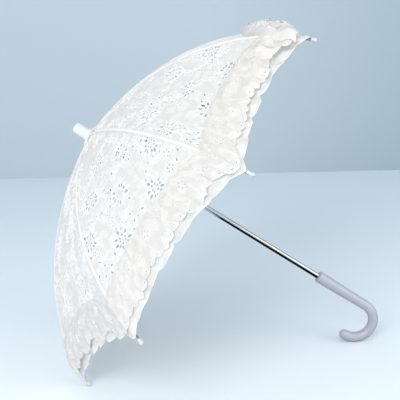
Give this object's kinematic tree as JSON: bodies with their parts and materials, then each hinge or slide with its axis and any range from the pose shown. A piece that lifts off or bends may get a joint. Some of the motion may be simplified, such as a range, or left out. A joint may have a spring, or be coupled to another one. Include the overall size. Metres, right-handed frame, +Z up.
{
  "type": "lace parasol",
  "caption": "Folding lace parasol with curved ribs, gathered lace flounce, steel shaft, sliding runner and hooked moulded handle, lying open.",
  "frame": {"origin": "under the middle of the parasol's box, on the surface that it lies on", "axes": "+Z up from that surface, +X level towards the handle, +Y away across the canopy; the shaft slopes down to the hook in the XZ plane"},
  "size_m": [0.4857, 0.582, 0.4899],
  "materials": {
    "shaft_steel": "polished",
    "handle_plastic": "satin gloss",
    "ferrule_plastic": "satin gloss",
    "rosette_cloth": "gathered cloth",
    "canopy_lace": "lace",
    "flounce_lace": "gathered lace",
    "collar_plastic": "moulded",
    "rib_steel": "plated",
    "rivet_steel": "plated",
    "spring_wire": "drawn",
    "tip_plastic": "moulded"
  },
  "bodies": {
    "shaft": {"shaft_tube": "shaft_steel", "handle": "handle_plastic", "ferrule": "ferrule_plastic", "rosette": "rosette_cloth", "top_notch": "collar_plastic", "notch_wire": "spring_wire"},
    "runner": {"runner": "collar_plastic"},
    "catch": {"top_catch": "spring_wire"},
    "rib_1": {"rib_1": "rib_steel", "rib_tip_1": "tip_plastic", "rib_rivet_1": "rivet_steel", "canopy_panel_1": "canopy_lace", "flounce_1": "flounce_lace"},
    "stretcher_1": {"stretcher_1": "rib_steel"},
    "rib_2": {"rib_2": "rib_steel", "rib_tip_2": "tip_plastic", "rib_rivet_2": "rivet_steel", "canopy_panel_2": "canopy_lace", "flounce_2": "flounce_lace"},
    "stretcher_2": {"stretcher_2": "rib_steel"},
    "rib_3": {"rib_3": "rib_steel", "rib_tip_3": "tip_plastic", "rib_rivet_3": "rivet_steel", "canopy_panel_3": "canopy_lace", "flounce_3": "flounce_lace"},
    "stretcher_3": {"stretcher_3": "rib_steel"},
    "rib_4": {"rib_4": "rib_steel", "rib_tip_4": "tip_plastic", "rib_rivet_4": "rivet_steel", "canopy_panel_4": "canopy_lace", "flounce_4": "flounce_lace"},
    "stretcher_4": {"stretcher_4": "rib_steel"},
    "rib_5": {"rib_5": "rib_steel", "rib_tip_5": "tip_plastic", "rib_rivet_5": "rivet_steel", "canopy_panel_5": "canopy_lace", "flounce_5": "flounce_lace"},
    "stretcher_5": {"stretcher_5": "rib_steel"},
    "rib_6": {"rib_6": "rib_steel", "rib_tip_6": "tip_plastic", "rib_rivet_6": "rivet_steel", "canopy_panel_6": "canopy_lace", "flounce_6": "flounce_lace"},
    "stretcher_6": {"stretcher_6": "rib_steel"},
    "rib_7": {"rib_7": "rib_steel", "rib_tip_7": "tip_plastic", "rib_rivet_7": "rivet_steel", "canopy_panel_7": "canopy_lace", "flounce_7": "flounce_lace"},
    "stretcher_7": {"stretcher_7": "rib_steel"},
    "rib_8": {"rib_8": "rib_steel", "rib_tip_8": "tip_plastic", "rib_rivet_8": "rivet_steel", "canopy_panel_8": "canopy_lace", "flounce_8": "flounce_lace"},
    "stretcher_8": {"stretcher_8": "rib_steel"}
  },
  "joints": [
    {"name": "runner_slide", "type": "slide", "parent": "shaft", "child": "runner", "axis": [0.8237, 0, -0.567], "range_m": [0, 0.21076], "deforming": ["top_catch"]},
    {"name": "catch_press", "type": "slide", "parent": "shaft", "child": "catch", "axis": [-0.567, 0, -0.8237], "range_m": [0, 0.0022], "stiffness_N_per_m": 800},
    {"name": "rib_1_fold", "type": "hinge", "parent": "shaft", "child": "rib_1", "pos_m": [-0.17828, 0.00306, 0.34517], "axis": [-0.217, 0.9239, -0.3152], "range_deg": [0, 56], "deforming": ["canopy_panel_1", "flounce_1"]},
    {"name": "stretcher_1_fold", "type": "hinge", "parent": "rib_1", "child": "stretcher_1", "pos_m": [-0.07047, 0.05932, 0.43584], "axis": [-0.217, 0.9239, -0.3152], "range_deg": [-112, 0]},
    {"name": "rib_2_fold", "type": "hinge", "parent": "shaft", "child": "rib_2", "pos_m": [-0.18074, 0.00739, 0.34161], "axis": [-0.5238, 0.3827, -0.761], "range_deg": [0, 56], "deforming": ["canopy_panel_2", "flounce_2"]},
    {"name": "stretcher_2_fold", "type": "hinge", "parent": "rib_2", "child": "stretcher_2", "pos_m": [-0.11804, 0.1432, 0.36674], "axis": [-0.5238, 0.3827, -0.761], "range_deg": [-112, 0]},
    {"name": "rib_3_fold", "type": "hinge", "parent": "shaft", "child": "rib_3", "pos_m": [-0.18421, 0.00739, 0.33656], "axis": [-0.5238, -0.3827, -0.761], "range_deg": [0, 56], "deforming": ["canopy_panel_3", "flounce_3"]},
    {"name": "stretcher_3_fold", "type": "hinge", "parent": "rib_3", "child": "stretcher_3", "pos_m": [-0.1853, 0.1432, 0.26902], "axis": [-0.5238, -0.3827, -0.761], "range_deg": [-112, 0]},
    {"name": "rib_4_fold", "type": "hinge", "parent": "shaft", "child": "rib_4", "pos_m": [-0.18667, 0.00306, 0.333], "axis": [-0.217, -0.9239, -0.3152], "range_deg": [0, 56], "deforming": ["canopy_panel_4", "flounce_4"]},
    {"name": "stretcher_4_fold", "type": "hinge", "parent": "rib_4", "child": "stretcher_4", "pos_m": [-0.23286, 0.05932, 0.19992], "axis": [-0.217, -0.9239, -0.3152], "range_deg": [-112, 0]},
    {"name": "rib_5_fold", "type": "hinge", "parent": "shaft", "child": "rib_5", "pos_m": [-0.18667, -0.00306, 0.333], "axis": [0.217, -0.9239, 0.3152], "range_deg": [0, 56], "deforming": ["canopy_panel_5", "flounce_5"]},
    {"name": "stretcher_5_fold", "type": "hinge", "parent": "rib_5", "child": "stretcher_5", "pos_m": [-0.23286, -0.05932, 0.19992], "axis": [0.217, -0.9239, 0.3152], "range_deg": [-112, 0]},
    {"name": "rib_6_fold", "type": "hinge", "parent": "shaft", "child": "rib_6", "pos_m": [-0.18421, -0.00739, 0.33656], "axis": [0.5238, -0.3827, 0.761], "range_deg": [0, 56], "deforming": ["canopy_panel_6", "flounce_6"]},
    {"name": "stretcher_6_fold", "type": "hinge", "parent": "rib_6", "child": "stretcher_6", "pos_m": [-0.1853, -0.1432, 0.26902], "axis": [0.5238, -0.3827, 0.761], "range_deg": [-112, 0]},
    {"name": "rib_7_fold", "type": "hinge", "parent": "shaft", "child": "rib_7", "pos_m": [-0.18074, -0.00739, 0.34161], "axis": [0.5238, 0.3827, 0.761], "range_deg": [0, 56], "deforming": ["canopy_panel_7", "flounce_7"]},
    {"name": "stretcher_7_fold", "type": "hinge", "parent": "rib_7", "child": "stretcher_7", "pos_m": [-0.11804, -0.1432, 0.36674], "axis": [0.5238, 0.3827, 0.761], "range_deg": [-112, 0]},
    {"name": "rib_8_fold", "type": "hinge", "parent": "shaft", "child": "rib_8", "pos_m": [-0.17828, -0.00306, 0.34517], "axis": [0.217, 0.9239, 0.3152], "range_deg": [0, 56], "deforming": ["canopy_panel_8", "flounce_8"]},
    {"name": "stretcher_8_fold", "type": "hinge", "parent": "rib_8", "child": "stretcher_8", "pos_m": [-0.07047, -0.05932, 0.43584], "axis": [0.217, 0.9239, 0.3152], "range_deg": [-112, 0]}
  ],
  "couplings": [
    {"joint": "rib_1_fold", "follows": "runner_slide", "rad_per_m": 4.6373},
    {"joint": "stretcher_1_fold", "follows": "runner_slide", "rad_per_m": -9.2745},
    {"joint": "rib_2_fold", "follows": "runner_slide", "rad_per_m": 4.6373},
    {"joint": "stretcher_2_fold", "follows": "runner_slide", "rad_per_m": -9.2745},
    {"joint": "rib_3_fold", "follows": "runner_slide", "rad_per_m": 4.6373},
    {"joint": "stretcher_3_fold", "follows": "runner_slide", "rad_per_m": -9.2745},
    {"joint": "rib_4_fold", "follows": "runner_slide", "rad_per_m": 4.6373},
    {"joint": "stretcher_4_fold", "follows": "runner_slide", "rad_per_m": -9.2745},
    {"joint": "rib_5_fold", "follows": "runner_slide", "rad_per_m": 4.6373},
    {"joint": "stretcher_5_fold", "follows": "runner_slide", "rad_per_m": -9.2745},
    {"joint": "rib_6_fold", "follows": "runner_slide", "rad_per_m": 4.6373},
    {"joint": "stretcher_6_fold", "follows": "runner_slide", "rad_per_m": -9.2745},
    {"joint": "rib_7_fold", "follows": "runner_slide", "rad_per_m": 4.6373},
    {"joint": "stretcher_7_fold", "follows": "runner_slide", "rad_per_m": -9.2745},
    {"joint": "rib_8_fold", "follows": "runner_slide", "rad_per_m": 4.6373},
    {"joint": "stretcher_8_fold", "follows": "runner_slide", "rad_per_m": -9.2745}
  ]
}
